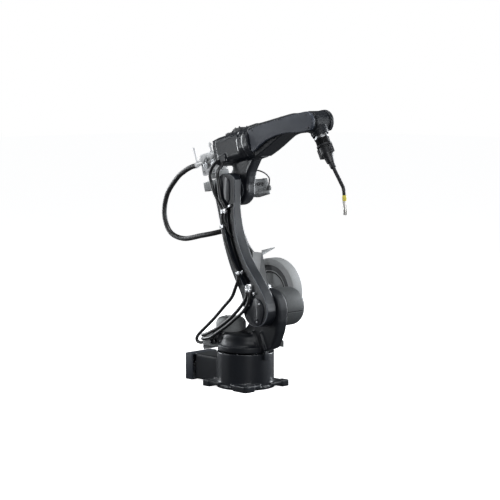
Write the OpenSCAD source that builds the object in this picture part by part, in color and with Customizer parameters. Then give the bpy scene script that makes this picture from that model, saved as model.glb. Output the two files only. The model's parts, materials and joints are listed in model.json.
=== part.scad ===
// Six-axis arc-welding robot arm with a wire feeder on the elbow and a wire
// spool drum on the turret. Millimetres, +Z up, +X is the way the arm reaches.
// The origin is on the first axis, at the level of the foot pads.

/* [Base] */
// Radius of the round base casting
base_r = 143; // [141:1:146]
// Height of the round base casting above the floor
base_h = 178; // [174:1:180]
// Distance from the first axis to a foot bolt, along X and along Y
foot_pitch_half = 130; // [128:1:134]
// Diameter of a foot bolt hole (clearance for M12)
foot_hole_d = 14; // [13:0.5:16]
// Rear end of the connector box, behind the first axis
rear_reach = 352; // [340:1:360]

/* [Arm geometry] */
// Shoulder axis, ahead of the first axis
j2_x = 162; // [160:1:164]
// Shoulder axis, above the floor
j2_z = 408; // [406:1:410]
// Forearm roll axis, above the elbow axis
elbow_offset = 200; // [198:1:202]
// Wrist axis, from the elbow along the forearm
forearm_len = 588; // [586:1:590]
// Upward pitch of the forearm at rest, in degrees
forearm_pitch = 15; // [14.5:0.5:15.5]

/* [Torch] */
// Radius of the swan-neck tube
neck_r = 9; // [8:0.5:9.5]
// Bend of the swan neck, in degrees
neck_bend = 28; // [22:1:32]
// Outer radius of the gas nozzle
nozzle_r = 10.5; // [10:0.25:11]
// Length of the gas nozzle
nozzle_len = 65; // [55:1:70]

/* [Wire feed] */
// Radius of the feed rolls
roll_r = 15; // [15:0.1:15.1]
// Outer radius of the spool drum
drum_r = 168; // [164:1:169]
// Outer diameter of the wire conduit
conduit_d = 26; // [22:1:26]
// Outer diameter of a harness cable
cable_d = 17; // [14:1:17]

/* [Hidden] */
$fn = 96;

// elbow axis
j3_x = -44;
j3_z = 989;
// foot of the elbow offset on the forearm roll axis
j4_x = j3_x - elbow_offset * sin(forearm_pitch);
j4_z = j3_z + elbow_offset * cos(forearm_pitch);
// wrist axis
j5_x = j4_x + forearm_len * cos(forearm_pitch);
j5_z = j4_z + forearm_len * sin(forearm_pitch);
// tool axis leans forward of straight down by this angle
tool_lean = 27;
// spool drum axis
sp_x = 0;
sp_z = 464;
// wire line through the feeder, in the forearm frame
wz = -18;
rz = roll_r + 0.2;

// ---------- helpers ----------
function arc(cx, cy, r, a0, a1, n = 12) =
  [for (i = [0:n]) let (a = a0 + (a1 - a0) * i / n) [cx + r * cos(a), cy + r * sin(a)]];
// outline of a rectangle with round corners
function rrect(x0, y0, x1, y1, r, n = 8) = concat(
  arc(x1 - r, y1 - r, r, 0, 90, n), arc(x0 + r, y1 - r, r, 90, 180, n),
  arc(x0 + r, y0 + r, r, 180, 270, n), arc(x1 - r, y0 + r, r, 270, 360, n));

// an X-Z outline given thickness from y0 to y1
module slab(pts, y0, y1) {
  translate([0, y1, 0]) rotate([90, 0, 0]) linear_extrude(y1 - y0) polygon(pts);
}
// a Y-Z outline given thickness from x0 to x1
module slab_x(pts, x0, x1) {
  translate([x0, 0, 0]) rotate([90, 0, 90]) linear_extrude(x1 - x0) polygon(pts);
}
// round bar along Y
module bar_y(r, y0, y1, x = 0, z = 0) {
  translate([x, y0, z]) rotate([-90, 0, 0]) cylinder(r = r, h = y1 - y0);
}
// round bar along X
module bar_x(r, x0, x1, y = 0, z = 0) {
  translate([x0, y, z]) rotate([0, 90, 0]) cylinder(r = r, h = x1 - x0);
}
module box(x0, y0, z0, x1, y1, z1) {
  translate([x0, y0, z0]) cube([x1 - x0, y1 - y0, z1 - z0]);
}
// forearm frame: X along the roll axis, Z square to it
module on_forearm() {
  translate([j4_x, 0, j4_z]) rotate([0, -forearm_pitch, 0]) children();
}
// tool frame: Z along the tool axis, away from the wrist
module on_tool() {
  translate([j5_x, 0, j5_z]) rotate([0, 180 - tool_lean, 0]) children();
}

// a tube swept along a list of points
function unit(v) = v / norm(v);
function tan_at(p, i) = unit(p[min(i + 1, len(p) - 1)] - p[max(i - 1, 0)]);
function frames(p, i, u) = i >= len(p) ? [] :
  let (t = tan_at(p, i), v = unit(u - (u * t) * t))
  concat([[v, cross(t, v)]], frames(p, i + 1, v));
module hose(p, d, n = 8) {
  t0 = tan_at(p, 0);
  u0 = abs(t0[2]) < 0.8 ? cross(t0, [0, 0, 1]) : cross(t0, [0, 1, 0]);
  fr = frames(p, 0, unit(u0));
  m = len(p);
  pts = [for (i = [0:m - 1], k = [0:n - 1])
    p[i] + d / 2 * (cos(360 * k / n) * fr[i][0] + sin(360 * k / n) * fr[i][1])];
  sides = [for (i = [0:m - 2], k = [0:n - 1])
    [i * n + k, (i + 1) * n + k, (i + 1) * n + (k + 1) % n, i * n + (k + 1) % n]];
  polyhedron(pts, concat(sides,
    [[for (k = [0:n - 1]) k]],
    [[for (k = [n - 1:-1:0]) (m - 1) * n + k]]), convexity = 6);
}

// ---------- routes, in the part's frame ----------
// smooth curve through a few guide points
function cr(a, b, c, d, t) = 0.5 * (2 * b + (c - a) * t + (2 * a - 5 * b + 4 * c - d) * t * t
  + (3 * b - a - 3 * c + d) * t * t * t);
function spline(p, k = 2) = concat(
  [for (i = [0:len(p) - 2], j = [0:k - 1])
    cr(p[max(i - 1, 0)], p[i], p[i + 1], p[min(i + 2, len(p) - 1)], j / k)],
  [p[len(p) - 1]]);
// wire conduit, from the feeder inlet round the back to the clamp on the arm
route_conduit_upper = spline([[-344.6, -11, 1097], [-384, -13, 1087], [-432, -16, 1064],
  [-488, -17, 1026], [-563, -18, 938], [-585, -18, 832], [-540, -19, 744], [-436, -20, 716],
  [-304, -18, 740], [-236, -8, 754], [-190, 8, 766], [-160, 25, 774], [-150, 33, 775.6]]);
// wire conduit, from the clamp on the arm to the top of the spool drum
route_conduit_lower = spline([[-146.8, 36, 776], [-134, 50, 776], [-124, 72, 771],
  [-130, 100, 756], [-142, 126, 732], [-152, 150, 704], [-154, 172, 676], [-145, 189, 648],
  [-130, 198, 623.4], [-115, 207, 599]]);
// harness cable to the clamp low on the arm
route_a = spline([[-236, -56, 204], [-264, -59, 196], [-290, -60, 200], [-294, -60, 220],
  [-272, -58, 246], [-178, -56, 324], [-94, -66, 394], [-12, -86, 456], [31, -104.5, 505],
  [53, -108, 546], [59, -109, 574]]);
// harness pair to the fittings low on the arm
route_b1 = spline([[-236, -27, 206], [-250, -30, 208], [-254, -44, 214], [-245, -68, 219],
  [-212, -87, 226], [-150, -101, 240], [-88, -102, 276], [-26, -104, 313], [28, -105, 352], [86, -109, 392],
  [124, -111, 435], [136, -110, 470], [135, -110, 493.4]]);
route_b2 = spline([[-236, -42, 232], [-248, -48, 234], [-245, -66, 237], [-214, -86, 245],
  [-160, -99, 264], [-104, -101, 290], [-44, -103, 326], [12, -104, 366], [64, -107, 410],
  [100, -110, 448], [116, -110, 476], [117, -110, 493.4]]);
// cables from the elbow to the upper arm
route_c1 = spline([[-90, -70, 1126], [-93, -76, 1108], [-99, -93, 1088], [-91, -109, 1062],
  [-80, -112, 1030], [-76, -110, 988], [-68, -110, 948], [-46, -110, 918], [-38, -109, 906],
  [-38, -109, 900.2]]);
route_c2 = spline([[-107, -76, 1131], [-126, -87, 1120], [-148, -92, 1094], [-158, -94, 1062],
  [-146, -99, 1026], [-122, -107, 988], [-98, -109, 952], [-70, -109, 916], [-58, -109, 902],
  [-58, -109, 894.2]]);
// cables clipped along the side of the arm
route_e1 = spline([[-58, -109, 871], [-60, -108, 840], [-57, -107, 808], [-38, -107, 742],
  [0, -107, 664], [36, -107, 610], [53, -107, 590]]);
route_e2 = spline([[-38, -109, 875], [-38, -108, 844], [-34, -102, 808], [-24, -88, 772],
  [-17, -72, 752]]);
// lead of the elbow motor
route_j3 = spline([[40, 37, 1086], [48, 60, 1080], [50, 92, 1066], [42, 124, 1044],
  [20, 147, 1018], [18, 148, 1004]]);

// ---------- base ----------
module base_casting() color([0.13, 0.14, 0.16]) difference() {
  union() {
    // foot plate and four pads
    translate([0, 0, 10]) linear_extrude(18) polygon(concat(
      [[150, 96], [150, 150], [96, 150]], arc(0, 190, 60, -42, -138, 8),
      [[-96, 150], [-150, 150], [-150, 96]], arc(-190, 0, 60, 48, -48, 8),
      [[-150, -96], [-150, -150], [-96, -150]], arc(0, -190, 60, 138, 42, 8),
      [[96, -150], [150, -150], [150, -96]], arc(190, 0, 60, 228, 132, 8)));
    for (sx = [-1, 1], sy = [-1, 1]) if (sx < 0 || sy > 0) linear_extrude(31)
      polygon([for (q = rrect(104, 104, 156, 156, 10)) [q[0] * sx, q[1] * sy]]);
    // wide pad at the front corner
    linear_extrude(31) polygon(rrect(56, -156, 156, -83, 16));
    // round body
    translate([0, 0, 10]) cylinder(r = base_r, h = base_h - 10);
    cylinder(r = 147, h = 14, center = false);
    // neck to the connector box
    translate([0, 0, 8]) linear_extrude(129) polygon(rrect(-300, -74, -60, 74, 16));
    // stop for the turret
    rotate([0, 0, -4]) box(-158, -12, 130, -130, 12, 172);
  }
  // hollow inside, open below
  translate([0, 0, -1]) cylinder(r = 130, h = 146);
  box(-302, -62, -1, -100, 62, 126);
  // seat of the first reducer
  translate([0, 0, 100]) cylinder(r = 64, h = 100);
  for (sx = [-1, 1], sy = [-1, 1])
    translate([sx * foot_pitch_half, sy * foot_pitch_half, -1])
      cylinder(d = foot_hole_d, h = 40);
}

module rear_panel() color([0.12, 0.13, 0.15]) difference() {
  translate([0, 0, 2]) linear_extrude(135) polygon(rrect(-rear_reach, -90, -300, 90, 6));
  box(-rear_reach + 6, -82, 10, -294, 82, 129);
  for (y = [-42, 42]) bar_x(20, -rear_reach - 1, -rear_reach + 8, y, 78);
  for (y = [-12, 12]) bar_x(5.5, -rear_reach - 1, -rear_reach + 8, y, 34);
}

module base_connectors() color([0.75, 0.76, 0.77]) {
  for (y = [-42, 42]) {
    bar_x(20, -rear_reach, -rear_reach + 20, y, 78);
    difference() {
      bar_x(26, -rear_reach - 5, -rear_reach, y, 78);
      bar_x(13, -rear_reach - 6, -rear_reach - 2, y, 78);
    }
  }
  for (y = [-12, 12]) {
    bar_x(5.5, -rear_reach, -rear_reach + 14, y, 34);
    bar_x(8, -rear_reach - 12, -rear_reach, y, 34);
  }
}

module j1_reducer() color([0.55, 0.56, 0.58]) difference() {
  union() {
    translate([0, 0, 96]) cylinder(r = 96, h = 48.5);
    translate([0, 0, 140]) cylinder(r = 63.5, h = 44);
  }
  translate([0, 0, 90]) cylinder(r = 24, h = 100);
}

// ---------- turret ----------
module turret_casting() color([0.14, 0.15, 0.17]) difference() {
  union() {
    translate([0, 0, 185]) cylinder(r = 141, h = 28);
    // neck with a flared foot and a rounded shoulder
    intersection() {
      rotate_extrude() polygon(concat([[0, 210], [137, 210], [133.2, 214.6], [128.3, 219.4],
        [124.2, 224.6], [121.2, 230.4], [119.1, 237], [118, 244]], arc(98, 255, 20, 0, 90, 6),
        [[0, 275]]));
      // flat on the far side for the foot of the spool bracket
      box(-150, -150, 200, 150, 117.7, 300);
    }
    // seat of the first motor
    translate([-95, -10, 222]) cylinder(r = 77.3, h = 53);
    // web under the shoulder
    slab([[-40, 213], [-30, 270], [20, 292], [50, 330], [62, 408], [262, 408],
      [259, 352], [247, 300], [226, 250], [202, 214], [160, 196], [100, 190], [-40, 190]],
      -30, 36);
    bar_y(100, -30, 36, j2_x, j2_z);
    // slanted ribs on the near side
    for (x = [85, 133]) slab([[x, 291], [x + 9, 294], [x + 47, 206], [x + 38, 206]], -49, -28);
    // far side boss that carries the spool bracket
    box(-70, 34, 205, 110, 118, 262);
  }
  // shoulder reducer seat
  bar_y(66, -40, 40, j2_x, j2_z);
  // passage above the first reducer
  translate([0, 0, 180]) cylinder(r = 24, h = 60);
}

module j1_motor() color([0.10, 0.10, 0.11]) {
  translate([-95, -10, 0]) {
    translate([0, 0, 275]) linear_extrude(50) polygon(rrect(-43, -43, 43, 43, 8));
    translate([0, 0, 325]) cylinder(r = 30, h = 12);
  }
}

module j1_motor_cover() color([0.47, 0.48, 0.49]) translate([-95, -10, 275])
  difference() {
    rotate_extrude() polygon(concat([[0, 0], [76, 0], [76, 32]],
      arc(42, 34, 34, 0, 90, 9), [[0, 68]]));
    translate([0, 0, -1]) rotate_extrude() polygon(concat([[0, 0], [72, 0], [72, 34]],
      arc(42, 35, 30, 0, 90, 9), [[0, 65]]));
  }

module cable_entry_bracket() color([0.50, 0.51, 0.52]) {
  difference() {
    union() {
      // arched plate across the rear of the turret
      slab_x(concat([[-70, 166], [70, 166], [76, 176], [76, 208]],
        arc(30, 212, 44, 0, 90, 8), arc(-30, 212, 44, 90, 180, 8), [[-76, 208], [-76, 176]]),
        -232, -228);
      // rim of the plate
      difference() {
        slab_x(concat([[-76, 190], [76, 190], [76, 208]], arc(30, 212, 46, 0, 90, 8),
          arc(-30, 212, 46, 90, 180, 8), [[-76, 208]]), -228, -188);
        slab_x(concat([[-71, 180], [71, 180], [71, 208]], arc(30, 212, 41, 0, 90, 8),
          arc(-30, 212, 41, 90, 180, 8), [[-71, 208]]), -229, -180);
      }
      // floor that bolts to the turret
      box(-228, -60, 186, -142, 60, 190);
    }
    for (q = gland_at) bar_x(9.5, -240, -220, q[0], q[1]);
  }
}
gland_at = [[-56, 204], [-27, 206], [-42, 232], [4, 205], [34, 214]];

module cable_glands() color([0.11, 0.11, 0.12]) for (q = gland_at) {
  bar_x(9.5, -232, -228, q[0], q[1]);
  translate([-236, q[0], q[1]]) rotate([0, 90, 0]) cylinder(r = 13, h = 4, $fn = 6);
  translate([-228, q[0], q[1]]) rotate([0, 90, 0]) cylinder(r = 13, h = 8, $fn = 6);
  bar_x(8, -220, -204, q[0], q[1]);
}

module turret_stop() color([0.10, 0.10, 0.11]) {
  slab([[144, 150], [160, 150], [160, 196], [144, 194.4]], -24, 4);
}

module j2_reducer() color([0.60, 0.61, 0.62]) difference() {
  union() {
    bar_y(65.5, -31, 38, j2_x, j2_z);
  }
  bar_y(14, -35, 45, j2_x, j2_z);
}

module j2_motor() color([0.09, 0.09, 0.10]) {
  translate([j2_x, 0, j2_z]) {
    slab(rrect(-46, -46, 46, 46, 8), 40, 62);
    slab(rrect(-43, -43, 43, 43, 10), 62, 150);
  }
}

module j2_cover_shell() translate([j2_x, 0, j2_z]) rotate([-90, 0, 0]) difference() {
  rotate_extrude() polygon(concat([[0, 37], [96, 37], [96, 144]],
    arc(68, 144, 28, 0, 90, 8), [[0, 172]]));
  rotate_extrude() polygon(concat([[0, 30], [91, 30], [91, 144]],
    arc(68, 144, 23, 0, 90, 8), [[0, 167]]));
}
module j2_cover_upper() color([0.44, 0.45, 0.46]) intersection() {
  j2_cover_shell();
  box(0, 0, j2_z - 14, 400, 300, 600);
}
module j2_cover_lower() color([0.42, 0.43, 0.44]) intersection() {
  j2_cover_shell();
  box(0, 0, 200, 400, 300, j2_z - 17);
}

module spool_bracket() color([0.55, 0.56, 0.56]) {
  // upright sheet between the arm and the drum
  slab([[-100, 262], [60, 262], [50, 360], [12, 486], [-34, 660], [-100, 660]], 150, 153);
  // folded foot on the turret boss
  box(-70, 118, 262, 60, 153, 265);
  box(-66, 118, 213.2, 56, 121, 262);
  // guard that folds back over the drum
  slab_x([[150, 644], [150, 672], [244, 681], [244, 676]], -37, -34);
  // small stay at the front of the foot
  box(110.2, 88, 206, 178, 91, 240);
}

module spool_cover() color([0.60, 0.61, 0.61]) { conduit_gland(); drum_shell(); }
module drum_shell() translate([sp_x, 0, sp_z]) rotate([-90, 0, 0])
  difference() {
    rotate_extrude() polygon(concat([[0, 173], [drum_r - 6, 173]],
      arc(drum_r - 6, 179, 6, -90, 0, 4), arc(drum_r - 14, 231, 14, 0, 90, 6), [[0, 245]]));
    // hollow
    rotate_extrude() polygon([[0, 175], [drum_r - 4, 175], [drum_r - 4, 232],
      [drum_r - 14, 242], [0, 242]]);
    // window in the near face
    translate([0, 0, 160]) cylinder(r = 134, h = 20);
    // hole for the axle
    translate([0, 0, 200]) cylinder(r = 14, h = 60);
  }
module conduit_gland() difference() {
  translate([-110, 210, 591]) rotate(a = 35.8, v = [0.3, -0.5, 0]) difference() {
    translate([0, 0, -18]) cylinder(r = 18, h = 42);
    translate([0, 0, 6]) cylinder(r = 15, h = 30);
  }
  bar_y(drum_r - 3, 150, 260, sp_x, sp_z);
}

module spool_axle() color([0.62, 0.63, 0.64]) translate([sp_x, 0, sp_z]) rotate([-90, 0, 0]) {
  translate([0, 0, 153]) cylinder(r = 40, h = 7);
  translate([0, 0, 160]) cylinder(r = 24.6, h = 80);
  translate([0, 0, 240]) cylinder(r = 14, h = 12);
}

// ---------- spool ----------
module wire_spool() color([0.38, 0.39, 0.40]) translate([sp_x, 0, sp_z]) rotate([-90, 0, 0])
  difference() {
    union() {
      translate([0, 0, 180]) cylinder(r = 148, h = 4);
      translate([0, 0, 230]) cylinder(r = 148, h = 4);
      translate([0, 0, 184]) cylinder(r = 52, h = 46);
      // rib round the near flange
      translate([0, 0, 177]) difference() {
        cylinder(r = 108, h = 4);
        translate([0, 0, -1]) cylinder(r = 101, h = 6);
      }
    }
    translate([0, 0, 170]) cylinder(r = 24.9, h = 80);
    for (a = [30:60:330]) rotate(a) translate([76, 0, 170]) cylinder(r = 14, h = 80);
  }

module spool_wire() color([0.72, 0.45, 0.30]) translate([sp_x, 0, sp_z]) rotate([-90, 0, 0])
  difference() {
    translate([0, 0, 184]) cylinder(r = 138, h = 46);
    translate([0, 0, 180]) cylinder(r = 95, h = 60);
  }

// ---------- upper arm ----------
arm_outline = concat(
  [[20, 1036]], arc(j3_x, j3_z, 84, 40, 180, 14),
  spline([[-126, 968], [-120, 938], [-110, 904], [-97, 858], [-84, 808], [-73, 760],
   [-60, 718], [-47, 684], [-33, 650], [-18, 616], [0, 580], [20, 546], [42, 512],
   [62, 478], [74, 446], [78.5, 412]]),
  spline([[245.5, 414], [239, 446], [226, 474], [205, 505], [175, 543], [147, 576],
   [123, 603], [103, 629], [85, 656], [69, 684], [55, 712], [43, 739], [33, 766],
   [25, 794], [20, 826], [17.5, 866], [17, 930]]));
pocket_outline = [[-14, 900], [-62, 900], [-66, 850], [-56, 800], [-42, 748],
  [-26, 706], [-6, 662], [20, 612], [50, 566], [80, 524], [112, 520], [128, 544],
  [104, 574], [76, 608], [50, 652], [30, 696], [12, 746], [0, 800], [-6, 850]];
module upper_arm_casting() color([0.14, 0.15, 0.17]) difference() {
  union() {
    slab(arm_outline, -95, -34);
    bar_y(84, -95, -34, j2_x, j2_z);
    bar_y(72, -34, -32.5, j2_x, j2_z);
    bar_y(60, -34, -30, j3_x, j3_z);
  }
  slab(pocket_outline, -96, -66);
  // the far front edge is cut back towards the elbow
  slab_x([[-34, 770], [-32, 770], [-32, 1090], [-50, 1090], [-50, 900]], -6, 30);
}
module j2_arm_cap() color([0.17, 0.18, 0.20]) {
  slab(concat(arc(j2_x, j2_z, 60, -10, 190, 16), arc(j2_x + 14, j2_z - 42, 34, 200, 340, 10)),
    -101, -95);
  bar_y(6, -104, -101, j2_x + 16, j2_z - 44);
}
module j3_arm_cap() color([0.17, 0.18, 0.20]) {
  slab(rrect(j3_x - 66, j3_z - 70, j3_x + 28, j3_z + 66, 34), -100, -95);
}
module clamp_strap(x, z, a, w = 46) translate([x, 0, z]) rotate([0, a, 0]) {
  box(-w / 2, -97.5, -7, w / 2, -95, 7);
  difference() {
    union() {
      box(-12, -116, -7, 12, -97.5, 7);
    }
    box(-9.8, -114.8, -9, 9.8, -99.2, 9);
  }
  for (s = [-1, 1]) bar_y(3.6, -102, -97.5, s * (w / 2 - 5), 0);
}
module cable_clamps() color([0.78, 0.79, 0.80]) {
  clamp_strap(-57, 808, -16);
  clamp_strap(56, 584, -20);
  // clamp of the wire conduit, held out from the far side of the arm
  difference() {
    union() {
      translate([-136, 47.5, 776]) rotate([0, 0, 49]) {
        box(-9, -22, -20, 9, 22, 20);
        box(-4, -118, -12, 4, -20, 12);
      }
      box(-64, -34, 760, -26, -29, 792);
    }
    translate([-136, 47.5, 776]) rotate([0, 0, 49]) rotate([0, 90, 0])
      translate([0, 0, -40]) cylinder(r = conduit_d / 2 + 0.8, h = 80);
  }
}
module arm_fittings() color([0.80, 0.81, 0.82]) {
  // fittings that take the two upper cables
  translate([-38, -109, 875.3]) cylinder(r = 8.5, h = 23, $fn = 6);
  translate([-58, -109, 871.3]) cylinder(r = 8.5, h = 21, $fn = 6);
  box(-66, -101, 876, -30, -95, 890);
  // angled fitting above them
  translate([-24, -103, 905]) rotate([0, 62, 0]) cylinder(r = 7.5, h = 26, $fn = 6);
  bar_y(6, -103, -95, -12, 911);
  // fittings that take the harness pair
  for (x = [117, 135]) {
    translate([x, -110, 494.8]) cylinder(r = 8.5, h = 18, $fn = 6);
    translate([x, -110, 512.8]) cylinder(r = 6, h = 16);
  }
  box(110, -102, 498, 142, -95, 534);
  bar_y(7, -106, -95, 160, 490);
}
module arm_cables() color([0.07, 0.07, 0.08]) {
  hose(route_e1, 11);
  hose(route_e2, 9);
}

// ---------- elbow ----------
module elbow_casting() color([0.14, 0.15, 0.17]) difference() {
  union() {
    on_forearm() {
      // roll housing
      slab_x(rrect(-74, -70, 74, 74, 38), -40, 124);
      bar_x(82, 118, 168);
      bar_x(88, 160, 198);
      // web down to the elbow axis
      slab([[-30, -50], [-22, -64], [2, -88], [-22, -114], [-56, -144], [0, -200],
        [78, -200], [90, -180], [100, -156], [114, -132], [140, -106], [170, -74],
        [170, -30], [-30, -30]], -25, 37);
    }
    bar_y(80, -26, 38, j3_x, j3_z);
    // gland block for the cables that go down to the arm
    on_forearm() box(-34, -79, -62, 22, -40, -22);
  }
  // hollow for the motor of the roll axis
  on_forearm() bar_x(56, -50, 64);
  on_forearm() bar_x(24, 50, 210);
}
module elbow_rear_cover() color([0.15, 0.16, 0.18]) on_forearm()
  difference() {
    slab_x(rrect(-72, -68, 72, 72, 38), -62, -40.2);
    slab_x(rrect(-64, -60, 64, 64, 32), -58, -38);
    bar_x(7, -90, -50, -12, wz);
  }
module elbow_top_plates() color([0.13, 0.14, 0.15]) on_forearm() {
  box(8, -34, 74, 62, 34, 82);
  box(66, -34, 74, 116, 34, 92);
  for (x = [15, 55], y = [-27, 27]) translate([x, y, 82]) cylinder(r = 4, h = 3);
  for (x = [74, 108], y = [-27, 27]) translate([x, y, 92]) cylinder(r = 4, h = 3);
}
module j3_motor() color([0.36, 0.37, 0.38]) {
  on_forearm() translate([0, 0, -elbow_offset]) {
    slab(rrect(-45, -45, 45, 45, 8), 38.2, 56);
    slab(rrect(-41, -41, 41, 41, 12), 56, 144);
    slab(rrect(-42, -42, 42, 42, 6), 144, 168);
  }
  // connector that takes the lead
  translate([18, 148, 996]) cylinder(r = 9, h = 7.5);
  translate([10, 140, 980]) cube([16, 16, 16]);
}
module j3_motor_cable() color([0.07, 0.07, 0.08]) hose(route_j3, 7);
module j4_motor() color([0.09, 0.09, 0.10]) on_forearm() {
  slab_x(rrect(-36, -36, 36, 36, 8), -36, 62);
}
module feeder_bracket() color([0.50, 0.51, 0.52]) on_forearm() {
  box(-300, 48, -150, -30, 84, -104);
  box(-50, 44, -140, -30, 48, -112);
  box(-196, 8, -104, -136, 84, -66);
}
module feeder_plate() color([0.80, 0.81, 0.82]) on_forearm() {
  difference() {
    slab(rrect(-240, -80, -70, 30, 10), 0, 8);
    for (x = [-195, -135]) bar_y(6.3, -5, 12, x, wz - rz);
    for (x = [-226, -165, -104], z = [-68, 18]) bar_y(4, -5, 12, x, z);
  }
  // pins of the pressure arms
  bar_y(3, -25, 0, -172, 16);
  bar_y(3, -25, 0, -158, 16);
  // posts of the tension levers
  bar_y(4, -37, 0, -232, -4);
  bar_y(4, -37, 0, -112, 2);
}
module feeder_motor() color([0.12, 0.12, 0.13]) on_forearm() {
  slab(rrect(-212, -64, -118, -2, 8), 8.2, 30);
  bar_y(27, 28, 92, -165, -33);
  // drive shafts of the lower rolls
  for (x = [-195, -135]) bar_y(6, -17, 14, x, wz - rz);
}
module feeder_guides() color([0.70, 0.66, 0.52]) on_forearm() {
  // inlet, middle and outlet guides of the wire
  translate([-262, -11, wz]) rotate([0, 90, 0]) difference() {
    union() {
      cylinder(r = 14, h = 8);
      translate([0, 0, 8]) cylinder(r = 10, h = 14, $fn = 6);
      translate([0, 0, 22]) cylinder(r = 5, h = 26);
    }
    translate([0, 0, -1]) cylinder(r = 1.5, h = 60);
  }
  box(-240, -11, wz - 4, -228, 0, wz + 4);
  translate([-176, -11, wz]) rotate([0, 90, 0]) cylinder(r = 3, h = 22);
  box(-169, -9, wz - 3, -161, 0, wz + 3);
  translate([-116, -11, wz]) rotate([0, 90, 0]) cylinder(r = 5, h = 52);
  box(-104, -11, wz - 4, -94, 0, wz + 4);
}
module feed_roll(x, z, bore) on_forearm() translate([x, 0, z]) rotate([90, 0, 0]) difference() {
  union() {
    translate([0, 0, 2.6]) cylinder(r = roll_r, h = 13.4);
    translate([0, 0, 16]) cylinder(r = 9, h = 1.4);
  }
  cylinder(r = bore, h = 30);
}
module drive_roll_front() color([0.72, 0.73, 0.74]) feed_roll(-135, wz - rz, 6.05);
module drive_roll_rear() color([0.72, 0.73, 0.74]) feed_roll(-195, wz - rz, 6.05);
module pressure_roll_front() color([0.72, 0.73, 0.74]) feed_roll(-135, wz + rz, 4.05);
module pressure_roll_rear() color([0.72, 0.73, 0.74]) feed_roll(-195, wz + rz, 4.05);
module pressure_arm(px, rx, tx) on_forearm() {
  difference() {
    slab(px < rx ? concat(arc(px, 16, 6.4, 90, 270, 8), [[rx, -14], [tx, -6], [tx, 8], [rx, 16]])
      : concat(arc(px, 16, 6.4, -90, 90, 8), [[rx, 16], [tx, 8], [tx, -6], [rx, -14]]),
      -24, -18);
    bar_y(3.05, -30, 0, px, 16);
  }
  bar_y(4, -18, -6.5, rx, wz + rz);
}
module pressure_arm_front() color([0.77, 0.78, 0.79]) pressure_arm(-158, -135, -120);
module pressure_arm_rear() color([0.77, 0.78, 0.79]) pressure_arm(-172, -195, -221);
module tension_lever(px, pz, tx, tz) on_forearm() difference() {
  union() {
    bar_y(8, -35, -27, px, pz);
    slab([[px - 4, pz], [px + 4, pz], [tx + 5, tz - 22], [tx + 8, tz - 16],
      [tx + 7, tz], [tx - 7, tz], [tx - 8, tz - 16], [tx - 5, tz - 22]], -35, -27);
  }
  bar_y(4.06, -40, 0, px, pz);
}
module tension_lever_front() color([0.55, 0.56, 0.57]) tension_lever(-112, 2, -117, 70);
module tension_lever_rear() color([0.55, 0.56, 0.57]) tension_lever(-232, -4, -238, 71);

// ---------- forearm ----------
module forearm_casting() color([0.14, 0.15, 0.17]) on_forearm() difference() {
  union() {
    bar_x(88, 201, 214);
    slab([[205, 74], [260, 74], [312, 72], [372, 70], [432, 68], [486, 66],
      [508, 64], [508, -34], [470, -24], [430, -18], [394, -22], [358, -34], [308, -52],
      [262, -66], [205, -80]], -57, 57);
    // near and far fork cheeks
    slab([[490, -34], [490, 64], [forearm_len, 50], [forearm_len, -50]], -57, -46);
    bar_y(50, -57, -46, forearm_len, 0);
    slab([[490, -34], [490, 64], [forearm_len, 56], [forearm_len, -56]], 46, 57);
    bar_y(56, 46, 57, forearm_len, 0);
  }
  // flats that take the two side covers
  box(202.8, -100, -100, 216, -57, 100);
  box(202.8, 57, -100, 216, 100, 100);
  // pocket for the wrist motors, closed by the near cover
  box(252, -60, -10, 476, 44, 56);
  bar_x(24, 190, 260);
  // bearings of the wrist
  bar_y(20, -70, 70, forearm_len, 0);
}
module forearm_near_cover() color([0.20, 0.23, 0.29]) on_forearm() {
  slab(concat([[203, -52], [203, 46], [212, 54], [260, 58], [312, 59], [372, 58],
    [432, 57], [500, 55], [560, 52]], arc(forearm_len, 0, 50, 90, -60, 10),
    [[560, -42], [500, -30], [440, -18], [376, -16], [310, -24], [270, -34], [236, -48], [214, -56]]),
    -75, -57.2);
}
module forearm_far_cover() color([0.15, 0.16, 0.18]) on_forearm() {
  slab(concat([[203, -52], [203, 46], [212, 54], [260, 58], [312, 60], [372, 60],
    [432, 60], [500, 60], [560, 59]], arc(forearm_len, 0, 57, 90, -60, 10),
    [[560, -48], [500, -30], [440, -18], [376, -16], [310, -24], [270, -34], [236, -48], [214, -56]]),
    57.2, 68);
}
module j5_motor() color([0.09, 0.09, 0.10]) on_forearm()
  slab(rrect(264, -6, 322, 52, 8), -54, 40);
module j6_motor() color([0.09, 0.09, 0.10]) on_forearm()
  slab(rrect(344, -6, 402, 52, 8), -54, 40);

// ---------- wrist ----------
module wrist_housing() color([0.12, 0.13, 0.14]) {
  translate([j5_x, 0, j5_z]) {
    bar_y(52, -44.5, 44.5);
    bar_y(19.8, -57, 57);
  }
  on_tool() {
    translate([0, 0, 20]) cylinder(r = 43, h = 42);
    translate([0, 0, 62]) cylinder(r = 40, h = 11);
  }
}

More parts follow.
